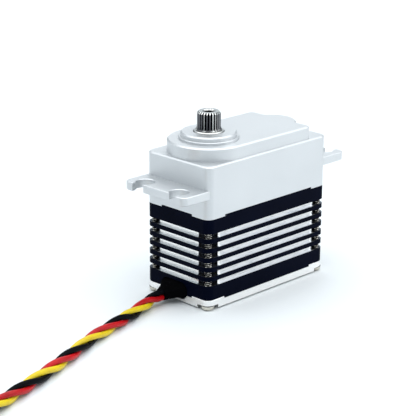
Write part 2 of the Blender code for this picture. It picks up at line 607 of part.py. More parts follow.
def make_motor():
    at = (MOTOR_X, 0)
    inner_r, lid_z = MOTOR_R - CAN_WALL, MOTOR_Z1 - 0.9
    can = turned("motor_can", [
        (BOSS_R, BOSS_Z), (BOSS_R, MOTOR_Z1), (MOTOR_R, MOTOR_Z1), (MOTOR_R, MOTOR_Z0), (inner_r, MOTOR_Z0),
        (inner_r, lid_z), (BUSH_R + PRESS, lid_z), (BUSH_R + PRESS, BOSS_Z)], "silver", at, 36, closed=True)
    for side in (-1, 1):
        spot = (MOTOR_X, side * MOTOR_SCREW_Y)
        cut(can, rod(f"can_thread_{side + 2}", 0.8, lid_z - 1, MOTOR_Z1 + 1, None, spot, 16))
        shank = [(0, 21.4), (1.5, 21.4), (1.5, 20.45), (0.72, 20.45), (0.72, lid_z - 0.3), (0, lid_z - 0.3)]
        screw = turned(f"motor_screw_{(side + 3) // 2}", shank, "steel", spot, 16)
        x, y = spot
        cut(screw, block(f"slot_{side + 2}", (x - 2, y - 0.15, 21.1), (x + 2, y + 0.15, 22)))
    ring("motor_bush", MOTOR_SHAFT_R + PIN_FIT, BUSH_R, lid_z + 0.02, BOSS_Z, "brass", at, 24)
    ring("motor_magnet", 5.95, inner_r - PRESS, 7.8, 16.8, "magnet", at, 36)
    cap_r = inner_r - PRESS
    turned("motor_end_cap", [(0, 6.2), (0.85, 6.2), (0.85, 6.7), (cap_r, 6.7), (cap_r, 5.85), (0, 5.85)],
           "black_plastic", at, 36)
    for number, side in enumerate((-1, 1), 1):
        rod(f"motor_terminal_{number}", 0.35, BOARD_Z1 + 0.03, 5.8, "brass", (MOTOR_X, side * 4.2), 12)
    rod("motor_shaft", MOTOR_SHAFT_R, 6.3, LEVEL_1[1] + 0.3, "steel", at, 20)
    ring("commutator", MOTOR_SHAFT_R + PRESS, 1.7, 6.9, 8.3, "copper", at, 20)
    loops = [rotor_outline(), circle(MOTOR_SHAFT_R + PRESS, 20)]
    prism("motor_rotor", loops, 8.6, 16.0, "copper", at)
    gear("motor_pinion", MOTOR_TEETH, M_FIRST, (LEVEL_1[0] - 0.15, LEVEL_1[1] + 0.15), MOTOR_X,
         MOTOR_SHAFT_R + PRESS, meshing_phase(MOTOR_TEETH), "brass")


# ---- electronics -------------------------------------------------------------------------------------
def make_potentiometer():
    low, high = (OUTPUT_X - POT_HALF, -POT_HALF, POT_Z0), (OUTPUT_X + POT_HALF, POT_HALF, POT_Z1)
    body = block("potentiometer_body", low, high, "black_plastic")
    cut(body, rod("potentiometer_bore", POT_SHAFT_R + 0.1, POT_Z0 + 1, POT_Z1 + 1, None, (OUTPUT_X, 0), 20))
    rod("potentiometer_shaft", POT_SHAFT_R, POT_Z0 + 1.3, 22.3, "brass", (OUTPUT_X, 0), 20)


def make_electronics():
    half = (BOARD_X1 - BOARD_X0) / 2
    middle = (BOARD_X0 + BOARD_X1) / 2
    notch = 3.2
    outline = []
    for sx, sy in ((1, 1), (-1, 1), (-1, -1), (1, -1)):
        corner = [(half, BOARD_HALF_W - notch), (half - notch, BOARD_HALF_W)]
        ordered = corner if sx == sy else reversed(corner)
        outline += [(middle + sx * x, sy * y) for x, y in ordered]
    prism("circuit_board", [outline], BOARD_Z0, BOARD_Z1, "board_green")
    z0 = BOARD_Z1 + 0.03
    block("controller_chip", (-8.6, -2.4, z0), (-3.8, 2.4, z0 + 0.9), "black_plastic")
    for number, (x, y) in enumerate(((0.6, -3.4), (0.6, 3.4), (12.4, -2.6), (12.4, 2.6)), 1):
        block(f"driver_chip_{number}", (x - 1.6, y - 1.3, z0), (x + 1.6, y + 1.3, z0 + 0.85), "black_plastic")
    rod("capacitor", 1.9, z0, z0 + 5.2, "dark_steel", (-11.4, -5.0), 24)
    rise = ((-16.6, 0, 3.1), (-16.0, 0, 3.9), (-15.5, 0, 5.0), (-14.4, 0, 5.3), (-13.4, 0, 4.95))
    wires = (("signal_wire", 1, "yellow"), ("supply_wire", 0, "red"), ("ground_wire", -1, "rubber"))
    for name, side, look in wires:
        y = RELIEF_Y + 1.5 * side
        tube(name, smooth_route([(x, y, z) for x, _, z in rise], 0.8), 0.45, look)


# ---- lead ----------------------------------------------------------------------------------------------
def make_strain_relief():
    """A rubber boot: it fills the oval opening and narrows to the wires."""
    shape = rounded_rectangle(1, 1, 0.95, 5)
    gap = 0.1
    centre, tip = (RELIEF_Y, RELIEF_Z), (RELIEF_TIP.y, RELIEF_TIP.z)
    wide, high = RELIEF_HALF_W - gap, RELIEF_HALF_H - gap
    stations = (
        (-17.2, centre, wide, high), (-HALF_L - 0.25, centre, wide, high),
        (-HALF_L - 0.5, centre, wide - 0.25, high - 0.25), (-21.6, (0.95, 2.85), 2.9, 1.62),
        (-22.9, (1.12, 2.5), 2.1, 1.5), (RELIEF_TIP.x + 0.2, tip, 1.75, 1.45),
        (RELIEF_TIP.x, tip, 1.55, 1.25),
    )
    rings = []
    for x, (y, z), half_w, half_h in stations:
        rings.append([(x, y + half_w * u, z + half_h * v) for u, v in shape])
    smooth(loft("strain_relief", rings, "rubber"))


def tail_point(degrees):
    """A point on the bend from the innermost turn to the plug, and its heading, in the coil's plane."""
    turn = math.radians(degrees)
    inner = COIL_R0 - COIL_TURNS * CORD_D
    spot = Vector((TAIL_R * math.sin(turn), inner - TAIL_R * (1 - math.cos(turn))))
    return COIL_CENTRE + spot, Vector((math.cos(turn), -math.sin(turn)))


def make_lead():
    tube("servo_lead", smooth_route(LEAD_ROUTE, LEAD_STEP), CORD_D / 2, "red")
    ring("lead_coil", COIL_IN_R, COIL_OUT_R, COIL_LIFT, COIL_LIFT + CORD_D + 0.1, "rubber", COIL_CENTRE, 40)
    bend = [tail_point(TAIL_START + (TAIL_END - TAIL_START) * i / 3)[0] for i in range(4)]
    tube("lead_end", [(p.x, p.y, CORD_D / 2 + 0.05) for p in bend], CORD_D / 2, "red")
    make_coil_tie()
    make_plug()


def make_coil_tie():
    """A flat band round the turns, on the side of the coil away from the servo."""
    thick, gap, width = 0.25, 0.08, 3.0
    low, high = COIL_LIFT - gap, COIL_LIFT + CORD_D + 0.1 + gap
    outer = [(-COIL_OUT_R - 0.35 - thick, low - thick), (-COIL_IN_R + 0.35 + thick, high + thick)]
    inner = [(-COIL_OUT_R - 0.35, low), (-COIL_IN_R + 0.35, high)]
    loops = []
    for (x0, z0), (x1, z1) in (outer, inner):
        loops.append([(x0, z0), (x1, z0), (x1, z1), (x0, z1)])
    band = prism("coil_tie", loops, -width / 2, width / 2, "white", COIL_CENTRE)
    for vertex in band.data.vertices:
        x, z, y = vertex.co
        vertex.co = (x, -y, z)


def make_plug():
    """The three-way plug lies flat inside the coil, its back to the last bend."""
    back, heading = tail_point(TAIL_END)
    across = Vector((-heading.y, heading.x))
    start = back + heading * 0.35

    def section(distance, half_w, z0, z1):
        corners = ((-half_w, z0), (half_w, z0), (half_w, z1), (-half_w, z1))
        spot = start + heading * distance
        return [(*(spot + across * u), z) for u, z in corners]

    shapes = [section(d, w, z0, z1) for d, w, z0, z1 in (
        (0, PLUG_W / 2 - 0.3, 0.15, PLUG_H - 0.15), (0.5, PLUG_W / 2, 0, PLUG_H),
        (PLUG_L - 0.3, PLUG_W / 2, 0, PLUG_H), (PLUG_L, PLUG_W / 2 - 0.2, 0.2, PLUG_H - 0.2))]
    plug = loft("connector_housing", shapes, "black_plastic")
    middle = PLUG_H / 2
    for number in (1, 2, 3):
        offset = (number - 2) * CONTACT_PITCH
        for name, half, near, far, look in (
            (f"contact_way_{number}", 0.75, 4.0, PLUG_L + 1, None),
            (f"connector_contact_{number}", 0.5, 4.3, PLUG_L - 0.9, "brass"),
        ):
            rings = []
            for distance in (near, far):
                spot = start + heading * distance + across * offset
                corners = ((-half, -half), (half, -half), (half, half), (-half, half))
                rings.append([(*(spot + across * u), middle + v) for u, v in corners])
            made = loft(name, rings, look)
            if look is None:
                cut(plug, made)


clear_scene()
PARTS = new_collection("hobby_servo")
CUTTERS = new_collection("cutters")
lead_opening = relief_opening()
make_bottom_cover(lead_opening)
make_middle_case(lead_opening)
make_top_case()
make_case_screws()
make_output_shaft()
make_bearing("upper", UPPER_BEARING)
make_bearing("lower", LOWER_BEARING)
make_gear_train()
make_motor()
make_potentiometer()
make_electronics()
make_strain_relief()
make_lead()
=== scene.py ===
"""Looks of the hobby servo: materials, threads, twisted lead, studio and camera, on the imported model."""

import math

import bmesh
import bpy
import numpy as np
from mathutils import Matrix, Vector


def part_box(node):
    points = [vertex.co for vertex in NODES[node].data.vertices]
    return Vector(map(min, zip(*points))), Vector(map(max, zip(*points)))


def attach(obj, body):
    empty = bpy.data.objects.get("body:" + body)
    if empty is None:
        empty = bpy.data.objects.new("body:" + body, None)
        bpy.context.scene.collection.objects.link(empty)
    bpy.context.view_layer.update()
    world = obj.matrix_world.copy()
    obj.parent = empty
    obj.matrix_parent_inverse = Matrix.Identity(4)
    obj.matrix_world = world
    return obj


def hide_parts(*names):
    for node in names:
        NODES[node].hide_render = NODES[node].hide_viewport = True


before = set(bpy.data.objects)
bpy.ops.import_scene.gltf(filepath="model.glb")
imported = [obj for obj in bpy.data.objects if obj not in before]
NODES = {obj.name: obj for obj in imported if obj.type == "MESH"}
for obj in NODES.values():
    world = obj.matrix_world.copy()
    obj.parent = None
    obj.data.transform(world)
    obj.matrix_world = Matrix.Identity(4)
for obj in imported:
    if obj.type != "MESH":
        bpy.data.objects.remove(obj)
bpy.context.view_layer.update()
MM = 0.001
BODY = "servo_body"

# sizes that the CAD and the looks share
SCREW_AT = (18.35 * MM, 8.55 * MM)  # a case screw's axis, the same in each quarter
SHAFT_AT = (-9.77 * MM, 0.0)
CASE_CORNER_R = 1.9 * MM
SPLINE_TEETH = 25
SPLINE_FROM, SPLINE_TO, SPLINE_CHAMFER = 38.94 * MM, 42.86 * MM, 0.36 * MM
HORN_HOLE_R, HORN_HOLE_TOP = 1.30 * MM, 42.75 * MM
GROOVES_FROM, GROOVES_TO = 5.7 * MM, 18.6 * MM
SCOOP_R = 2.38 * MM  # the grooves are scooped out to this round each case screw
SCREW_HEAD_TOP = 1.20  # millimetres, as are the lead's and the boot's sizes below
SMOOTH_BELOW = 32  # degrees between faces that still shade as one surface


# ---- camera ----------------------------------------------------------------------------------------
CAMERA_AT = (-0.24067, -0.22761, 0.12703)
CAMERA_HEADING, CAMERA_TILT, CAMERA_ROLL = 44.5983, -18.2413, 0.3849  # degrees; heading from +X


def add_camera():
    camera = bpy.data.cameras.new("camera")
    camera.sensor_width = 36
    camera.lens = 128.34
    camera.clip_start, camera.clip_end = 0.01, 20
    made = bpy.data.objects.new("camera", camera)
    heading = Matrix.Rotation(math.radians(CAMERA_HEADING - 90), 4, "Z")
    tilt = Matrix.Rotation(math.radians(90 + CAMERA_TILT), 4, "X")
    roll = Matrix.Rotation(math.radians(CAMERA_ROLL), 4, "Z")
    made.matrix_world = Matrix.Translation(CAMERA_AT) @ heading @ tilt @ roll
    bpy.context.scene.collection.objects.link(made)
    bpy.context.scene.camera = made


# ---- material helpers ------------------------------------------------------------------------------
class Graph:
    """A short way to write a material's nodes. Coordinates are the object's own, in metres."""

    def __init__(self, name):
        self.material = bpy.data.materials.new(name)
        self.material.use_nodes = True
        self.nodes, self.links = self.material.node_tree.nodes, self.material.node_tree.links
        self.shader = self.nodes["Principled BSDF"]
        self.point = self.nodes.new("ShaderNodeTexCoord").outputs["Object"]

    def put(self, socket, value):
        if isinstance(value, bpy.types.NodeSocket):
            self.links.new(value, socket)
        else:
            socket.default_value = value

    def set(self, **values):
        for key, value in values.items():
            self.put(self.shader.inputs[key.replace("_", " ")], value)
        return self

    def math(self, operation, a, b=0.0):
        node = self.nodes.new("ShaderNodeMath")
        node.operation = operation
        for socket, value in zip(node.inputs, (a, b)):
            self.put(socket, value)
        return node.outputs[0]

    def vector(self, operation, a, b=(0, 0, 0), out="Vector"):
        node = self.nodes.new("ShaderNodeVectorMath")
        node.operation = operation
        self.put(node.inputs[0], a)
        self.put(node.inputs[1], b)
        return node.outputs[out]

    def split(self, vector):
        node = self.nodes.new("ShaderNodeSeparateXYZ")
        self.put(node.inputs[0], vector)
        return node.outputs

    def join(self, x, y, z):
        node = self.nodes.new("ShaderNodeCombineXYZ")
        for socket, value in zip(node.inputs, (x, y, z)):
            self.put(socket, value)
        return node.outputs[0]

    def flat_length(self, x, y):
        """Length of a vector that lies in the XY plane."""
        return self.vector("LENGTH", self.join(x, y, 0.0), out="Value")

    def noise(self, size, detail=3.0, rough=0.5, stretch=(1, 1, 1)):
        """A noise whose lumps are about size metres across."""
        node = self.nodes.new("ShaderNodeTexNoise")
        self.put(node.inputs["Vector"], self.vector("MULTIPLY", self.point, stretch))
        node.inputs["Scale"].default_value = 0.5 / size
        node.inputs["Detail"].default_value = detail
        node.inputs["Roughness"].default_value = rough
        return node.outputs["Fac"]

    def spread(self, value, low=0.0, high=1.0, start=0.3, end=0.7):
        """Maps a value's range from start to end on low to high, and holds it there outside."""
        node = self.nodes.new("ShaderNodeMapRange")
        for socket, item in zip(node.inputs[:5], (value, start, end, low, high)):
            self.put(socket, item)
        return node.outputs[0]

    def mix(self, factor, a, b):
        node = self.nodes.new("ShaderNodeMix")
        node.data_type = "RGBA"
        for name, value in (("Factor_Float", factor), ("A_Color", a), ("B_Color", b)):
            socket = next(s for s in node.inputs if s.identifier == name)
            if isinstance(value, tuple) and len(value) == 3:
                value = (*value, 1)
            self.put(socket, value)
        return next(s for s in node.outputs if s.identifier == "Result_Color")

    def bump(self, height, distance, strength):
        node = self.nodes.new("ShaderNodeBump")
        node.inputs["Distance"].default_value = distance
        node.inputs["Strength"].default_value = strength
        self.put(node.inputs["Height"], height)
        self.put(self.shader.inputs["Normal"], node.outputs["Normal"])
        return self


def rounded_box_depth(g, half_x, half_y, radius):
    """How deep a point is inside a rounded rectangle in the XY plane, in metres."""
    away = g.vector("SUBTRACT", g.vector("ABSOLUTE", g.point), (half_x - radius, half_y - radius, 0))
    x, y, _ = g.split(away)
    outside = g.flat_length(g.math("MAXIMUM", x, 0.0), g.math("MAXIMUM", y, 0.0))
    inside = g.math("MINIMUM", g.math("MAXIMUM", x, y), 0.0)
    return g.math("SUBTRACT", radius, g.math("ADD", outside, inside))


# ---- materials -------------------------------------------------------------------------------------
def blasted_aluminium(name, tone, roughness):
    """Bead-blasted and clear anodised: an even satin with a fine grain and faint cloudiness."""
    g = Graph(name)
    cloud = g.noise(7 * MM, 2)
    grain = g.noise(0.12 * MM, 2, 0.6)
    dark = tuple(0.955 * c for c in tone)
    g.set(Metallic=0.92, Base_Color=g.mix(g.spread(cloud), dark, tone))
    g.set(Roughness=g.spread(grain, roughness - 0.04, roughness + 0.05))
    return g.bump(grain, 0.006 * MM, 0.6).material


def from_case_screw(g):
    """Distance from the nearest case screw's axis, in metres."""
    x, y, _ = g.split(g.vector("SUBTRACT", g.vector("ABSOLUTE", g.point), (*SCREW_AT, 0)))
    return g.flat_length(x, y)


def anodised_with_bare_grooves(half_x, half_y):
    """Black anodised outside. The grooves were machined afterwards, so their floors and sides are bare.
    Painted shade darkens the pockets round the case screws, and a painted highlight lightens the end faces'
    groove floors and a bar near each end of the sides.
    """
    g = Graph("black_anodised_grooved")
    depth = rounded_box_depth(g, half_x, half_y, CASE_CORNER_R)
    _, _, z = g.split(g.point)
    low = g.math("GREATER_THAN", z, GROOVES_FROM)
    high = g.math("LESS_THAN", z, GROOVES_TO)
    cut = g.spread(depth, start=0.10 * MM, end=0.16 * MM)
    clear = g.spread(from_case_screw(g), start=SCOOP_R, end=SCOOP_R + 0.10 * MM)
    cut = g.math("MULTIPLY", cut, g.math("MULTIPLY", low, high))
    grain = g.noise(0.10 * MM, 2, 0.6)
    cloud = g.noise(5 * MM, 2)
    lines = g.noise(0.09 * MM, 2, 0.5, (0.06, 0.06, 1.0))
    black = g.mix(g.spread(cloud), (0.0008, 0.0016, 0.0065), (0.0014, 0.0024, 0.0095))
    across, _, _ = g.split(g.vector("ABSOLUTE", g.point))
    along_sides = g.mix(g.spread(lines), (0.62, 0.62, 0.62), (0.84, 0.83, 0.82))
    # painted highlight: the groove floors on the end faces, and a bar near each end of the sides, get a
    # lighter tone than along the sides
    painted_bright_ends = g.mix(g.spread(lines), (0.88, 0.88, 0.86), (0.99, 0.98, 0.96))
    highlight_bar_from = g.math("GREATER_THAN", across, 15.4 * MM)  # painted highlight: a lighter bar where the cutter left each side
    painted_highlight_bar = g.math("MULTIPLY", highlight_bar_from, g.math("LESS_THAN", across, 16.2 * MM))
    end_face = g.math("GREATER_THAN", across, 18.8 * MM)
    metal = g.mix(g.math("MAXIMUM", painted_highlight_bar, end_face), along_sides, painted_bright_ends)
    # painted shade: the pockets scooped round the case screws are dark grey, not bare metal
    painted_scoop_shade = g.mix(g.spread(cloud), (0.09, 0.09, 0.10), (0.22, 0.22, 0.23))
    g.set(Base_Color=g.mix(cut, black, g.mix(clear, painted_scoop_shade, metal)))
    g.set(Metallic=g.spread(cut, high=0.95, start=0, end=1))
    g.set(Specular_IOR_Level=0.018, Specular_Tint=(0.75, 0.85, 1.0, 1))
    dull = g.spread(grain, 0.30, 0.40)
    g.set(Roughness=g.math("ADD", g.math("MULTIPLY", g.math("SUBTRACT", 1.0, cut), dull),
                           g.math("MULTIPLY", cut, g.spread(lines, 0.26, 0.40))))
    return g.bump(g.math("ADD", grain, lines), 0.004 * MM, 0.5).material


def machined_steel(name, tone=(0.62, 0.61, 0.60), roughness=0.26):
    """Turned or hobbed steel: fine tool lines, with darker oily patches."""
    g = Graph(name)
    lines = g.noise(0.06 * MM, 2, 0.6, (0.1, 0.1, 1.0))
    patches = g.noise(1.3 * MM, 3)
    shade = tuple(c * 0.62 for c in tone)
    g.set(Metallic=1.0, Base_Color=g.mix(g.spread(patches, start=0.25, end=0.65), shade, tone))
    g.set(Roughness=g.spread(lines, roughness - 0.07, roughness + 0.10))
    return g.bump(lines, 0.004 * MM, 0.6).material


def thread_steel():
    """Rolled screw thread: bright crests over roots darkened by painted shade. The head is plated steel,
    with a painted shadow on its top rim under the cover.
    """
    g = Graph("thread_steel")
    away = from_case_screw(g)
    _, _, z = g.split(g.point)
    patches = g.noise(0.7 * MM, 3)
    crest = g.mix(g.spread(patches, end=0.65), (0.16, 0.15, 0.14), (0.80, 0.77, 0.70))
    on_crest = g.spread(away, start=0.80 * MM, end=0.90 * MM)
    # painted shade: the thread's roots are near black under the bright crests
    crest_over_painted_root_shade = g.mix(on_crest, (0.020, 0.020, 0.022), crest)
    head = g.mix(g.spread(patches), (0.46, 0.44, 0.39), (0.74, 0.71, 0.63))
    # painted shadow: a dark band on the head's top rim, under the cover
    painted_shadow_band = g.spread(z, start=1.02 * MM, end=1.10 * MM)
    head = g.mix(painted_shadow_band, head, (0.030, 0.030, 0.030))
    on_shank = g.math("GREATER_THAN", z, (SCREW_HEAD_TOP + 0.05) * MM)
    g.set(Base_Color=g.mix(on_shank, head, crest_over_painted_root_shade), Metallic=1.0)
    g.set(Roughness=g.spread(patches, 0.12, 0.26))
    return g.bump(patches, 0.004 * MM, 0.5).material


def splined_steel():
    """Hobbed spline on the output shaft: painted shade makes the teeth dark and their roots and the horn
    hole near black, and a painted highlight brightens the tips of some teeth.
    """
    g = Graph("splined_steel")
    x, y, z = g.split(g.vector("SUBTRACT", g.point, (*SHAFT_AT, 0)))
    away = g.flat_length(x, y)
    turn = g.math("MULTIPLY", g.math("ARCTAN2", y, x), SPLINE_TEETH / (2 * math.pi))
    tooth = g.math("ROUND", turn)
    gap = g.math("GREATER_THAN", g.math("ABSOLUTE", g.math("SUBTRACT", turn, tooth)), 0.27)
    each_tooth = g.nodes.new("ShaderNodeTexWhiteNoise")
    each_tooth.noise_dimensions = "1D"
    g.put(each_tooth.inputs["W"], tooth)
    painted_tip_highlight = g.spread(each_tooth.outputs["Value"], start=0.45, end=0.95)
    lines = g.noise(0.06 * MM, 2, 0.6, (1, 1, 0.12))
    turned = g.mix(g.spread(lines), (0.62, 0.62, 0.61), (0.76, 0.76, 0.74))
    # painted highlight: the tips of some teeth, chosen at random, are bright
    tip = g.mix(painted_tip_highlight, (0.13, 0.13, 0.14), (0.85, 0.85, 0.82))
    # painted shade: the flanks are dark grey and near black at the roots
    up_flank = g.spread(away, start=2.46 * MM, end=2.60 * MM)
    painted_flank_shade = g.mix(up_flank, (0.004, 0.004, 0.006), (0.11, 0.11, 0.12))
    cut = g.mix(g.spread(away, start=2.64 * MM, end=2.70 * MM), painted_flank_shade, tip)
    top = g.math("ADD", SPLINE_TO, g.math("MULTIPLY", gap, SPLINE_CHAMFER))
    between = g.math("MULTIPLY", g.math("GREATER_THAN", z, SPLINE_FROM), g.math("LESS_THAN", z, top))
    # painted shade: the horn hole is near black inside, through the root colour
    in_hole = g.math("LESS_THAN", away, HORN_HOLE_R)
    hole_with_painted_shade = g.math("MULTIPLY", in_hole, g.math("LESS_THAN", z, HORN_HOLE_TOP))
    colour = g.mix(g.math("MAXIMUM", between, hole_with_painted_shade), turned, cut)
    g.set(Base_Color=colour, Metallic=1.0, Roughness=g.spread(lines, 0.20, 0.36))
    return g.bump(lines, 0.004 * MM, 0.5).material


def soft_plastic(name, tone, roughness=0.36, level=0.5, fine=0.10):
    """Moulded or extruded plastic and rubber, with a faint texture."""
    g = Graph(name)
    grain, cloud = g.noise(fine * MM, 2, 0.6), g.noise(2.5 * MM, 2)
    shade = tuple(c * 0.80 for c in tone)
    g.set(Base_Color=g.mix(g.spread(cloud), shade, tone), Metallic=0.0)
    g.set(Roughness=g.spread(grain, roughness - 0.05, roughness + 0.07), Specular_IOR_Level=level)
    return g.bump(grain, 0.010 * MM, 0.5).material


RIDGES_PER_WIRE = 14


def wire_insulation(name, tone, dark, level):
    """Thin insulation over a stranded core, whose wires show as faint ridges along it."""
    g = Graph(name)
    uv = g.nodes.new("ShaderNodeUVMap")
    uv.uv_map = "along"
    u, _, _ = g.split(uv.outputs["UV"])
    ridges = g.math("SINE", g.math("MULTIPLY", u, 2 * math.pi * RIDGES_PER_WIRE))
    cloud = g.noise(1.6 * MM, 3)
    g.set(Base_Color=g.mix(g.spread(cloud), dark, tone), Metallic=0.0)
    g.set(Roughness=g.spread(cloud, 0.26, 0.38), Specular_IOR_Level=level)
    height = g.math("ADD", g.math("MULTIPLY", ridges, 0.5), g.noise(0.2 * MM, 2))
    return g.bump(height, 0.010 * MM, 0.5).material


def wound_copper():
    """Enamelled copper wire, wound flat."""
    g = Graph("wound_copper")
    lines = g.noise(0.10 * MM, 1, 0.5, (0.15, 0.15, 1.0))
    copper_tone = g.mix(g.spread(lines), (0.40, 0.14, 0.05), (0.80, 0.38, 0.18))
    g.set(Base_Color=copper_tone, Metallic=0.95)
    g.set(Roughness=g.spread(lines, 0.28, 0.42))
    return g.bump(lines, 0.02 * MM, 0.7).material


def solder_mask():
    """Circuit board: green mask with traces that show through it."""
    g = Graph("solder_mask")
    node = g.nodes.new("ShaderNodeTexVoronoi")
    node.distance, node.inputs["Scale"].default_value = "MANHATTAN", 700
    g.put(node.inputs["Vector"], g.point)
    trace = g.spread(node.outputs["Distance"], start=0.28, end=0.34)
    g.set(Base_Color=g.mix(trace, (0.012, 0.13, 0.05), (0.02, 0.22, 0.09)), Metallic=0.0)
    g.set(Roughness=g.spread(g.noise(0.3 * MM), 0.25, 0.4))
    return g.bump(trace, 0.02 * MM, 0.6).material


def studio_floor():
    """Matt white sweep, very slightly uneven."""
    g = Graph("studio_floor")
    cloud = g.noise(60 * MM, 1)
    white = g.mix(g.spread(cloud), (0.728, 0.752, 0.764), (0.742, 0.764, 0.774))
    g.set(Base_Color=white, Metallic=0.0)
    g.set(Roughness=g.spread(cloud, 0.55, 0.65), Specular_IOR_Level=0.2)
    return g.material


# ---- CAD nodes that stay ---------------------------------------------------------------------------
def dress(name, material):
    """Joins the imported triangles, shades the curved faces smooth and keeps the corners sharp."""
    node = NODES[name]
    mesh = node.data
    mesh.materials[0] = material
    if "custom_normal" in mesh.attributes:
        mesh.attributes.remove(mesh.attributes["custom_normal"])
    mesh.shade_smooth()
    weld = node.modifiers.new("weld", "WELD")
    weld.merge_threshold = 1e-7
    flat = node.modifiers.new("flat faces", "DECIMATE")
    flat.decimate_type, flat.angle_limit = "DISSOLVE", math.radians(0.5)
    split = node.modifiers.new("sharp edges", "EDGE_SPLIT")
    split.split_angle, split.use_edge_sharp = math.radians(SMOOTH_BELOW), False
    flatten = node.modifiers.new("face normals", "WEIGHTED_NORMAL")
    flatten.mode, flatten.weight, flatten.keep_sharp = "FACE_AREA", 50, True


# ---- pieces ----------------------------------------------------------------------------------------
def add_mesh(name, verts, faces, materials, slots=None):
    """A smooth-shaded piece that rides on the servo's body. slots has a material number per face."""
    mesh = bpy.data.meshes.new(name)
    mesh.from_pydata([tuple(map(float, v)) for v in verts], [], [tuple(map(int, f)) for f in faces])
    for item in materials:
        mesh.materials.append(item)
    if slots is not None:
        mesh.polygons.foreach_set("material_index", np.asarray(slots, np.int32))
    mesh.shade_smooth()
    mesh.validate()
    made = bpy.data.objects.new(name, mesh)
    bpy.context.scene.collection.objects.link(made)
    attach(made, BODY)
    return made


def rings_mesh(rings):
    """Vertices and faces of a closed tube through rings of equally many points."""
    count = len(rings[0])
    verts = np.concatenate(rings)
    faces = []
    for row in range(len(rings) - 1):
        a, b = row * count, (row + 1) * count
        for i in range(count):
            j = (i + 1) % count
            faces.append((a + i, a + j, b + j, b + i))
    last = (len(rings) - 1) * count
    faces.append(tuple(range(count))[::-1])
    faces.append(tuple(last + i for i in range(count)))
    return verts, faces


def unit(vectors):
    """Each row scaled to a length of one."""
    return vectors / np.linalg.norm(vectors, axis=1)[:, None]


def circle_angles(count):
    """Angles of count points spread evenly round a circle."""
    return np.arange(count) * 2 * math.pi / count


def smooth_route(points, step):
    """Points about step apart on the Catmull-Rom curve through the given ones."""
    nodes = [np.array(p, float) for p in points]
    nodes = [2 * nodes[0] - nodes[1], *nodes, 2 * nodes[-1] - nodes[-2]]
    route = [nodes[1]]
    for a, b, c, d in zip(nodes, nodes[1:], nodes[2:], nodes[3:]):
        count = max(1, round(float(np.linalg.norm(c - b)) / step))
        for i in range(1, count + 1):
            t = i / count
            bend = (2 * a - 5 * b + 4 * c - d) * t**2 + (3 * b - 3 * c + d - a) * t**3
            route.append((2 * b + (c - a) * t + bend) / 2)
    return np.array(route)


# ---- lead, in millimetres and degrees ----------------------------------------------------------------
LEAD_D, STRAND_R, STRAND_GAP, STRAND_SIDES = 2.8, 0.64, 0.02, 14
ROUTE_STEP, LINE_STEP = 0.8, 0.75
LEAD_ROUTE = (
    (-22.0, 1.15, 2.42), (-24.1, 1.2, 2.3), (-27.2, 1.2, 1.75), (-31.0, 0.2, 1.45), (-34.8, -1.0, 1.4),
    (-42.7, -3.1, 1.4), (-50.3, -5.2, 1.4), (-57.5, -8.0, 1.4), (-65.5, -11.0, 1.4), (-73.5, -13.6, 1.4),
    (-81.0, -15.9, 1.5), (-87.6, -17.9, 1.7),
)
COIL_CENTRE, COIL_R0, COIL_Z = np.array([-105.6, -6.0]), 18.2, 1.8
COIL_JOIN, COIL_END, COIL_TURNS = -65.0, -270.0, 2.0  # directions from the coil's centre, and whole turns
STEP_WINDOW = 60.0  # how much of each turn the lead takes to move in to the next one
TAIL_R, TAIL_END, TAIL_DROP = 5.8, 117, 0.35
# The bundle's x, and how far it has turned there: at each multiple of 120 a wire is on top.
CROSSINGS = (
    (-21.0, -190), (-25.2, -120), (-28.9, 0), (-35.3, 120), (-39.4, 240), (-46.2, 360), (-52.8, 480),
)
LAY = 18.4  # length of one turn after the last crossing


def coil_points():
    """Two and a half turns wound inwards, clockwise from above, then the bend to the plug."""
    points = []
    total = COIL_TURNS * 360 + (COIL_JOIN - COIL_END)
    for degrees in np.arange(0, total + 0.1, 3.0):
        whole, part = divmod(degrees, 360)
        moved = min(max((part - (360 - STEP_WINDOW)) / STEP_WINDOW, 0.0), 1.0) if whole < COIL_TURNS else 0.0
        turns = min(whole, COIL_TURNS) + moved * moved * (3 - 2 * moved)
        radius = COIL_R0 - LEAD_D * turns
        angle = math.radians(COIL_JOIN - degrees)
        spot = COIL_CENTRE + radius * np.array([math.cos(angle), math.sin(angle)])
        points.append((*spot, COIL_Z))
    inner = COIL_R0 - LEAD_D * COIL_TURNS
    for degrees in np.linspace(6, TAIL_END, 16):
        turn = math.radians(degrees)
        spot = COIL_CENTRE + np.array([TAIL_R * math.sin(turn), inner - TAIL_R * (1 - math.cos(turn))])
        points.append((*spot, COIL_Z - TAIL_DROP * min(1.0, degrees / 84)))
    return points


def even_steps(points, step):
    """The same line with its points evenly about step apart, and how far along each one is."""
    points = np.asarray(points, float)
    run = np.concatenate([[0], np.cumsum(np.linalg.norm(np.diff(points, axis=0), axis=1))])
    marks = np.linspace(0, run[-1], max(2, round(run[-1] / step) + 1))
    return np.stack([np.interp(marks, run, points[:, k]) for k in range(3)], 1), marks


def lead_line():
    """The lead's centre line from the boot to the plug, and how far along each point is."""
    route = smooth_route(LEAD_ROUTE, ROUTE_STEP)
    coil = smooth_route([LEAD_ROUTE[-1], *coil_points()], ROUTE_STEP)
    return even_steps(np.concatenate([route, coil[1:]]), LINE_STEP)


def twist(line, marks):
    """The bundle's turn in degrees at each point: through the crossings, then one turn in each lay."""
    cross_x, cross_turn = zip(*CROSSINGS[::-1])
    turn = np.interp(line[:, 0], cross_x, cross_turn)
    last = int(np.argmax(line[:, 0] < CROSSINGS[-1][0]))
    turn[last:] = CROSSINGS[-1][1] + (marks[last:] - marks[last]) * 360 / LAY
    return turn


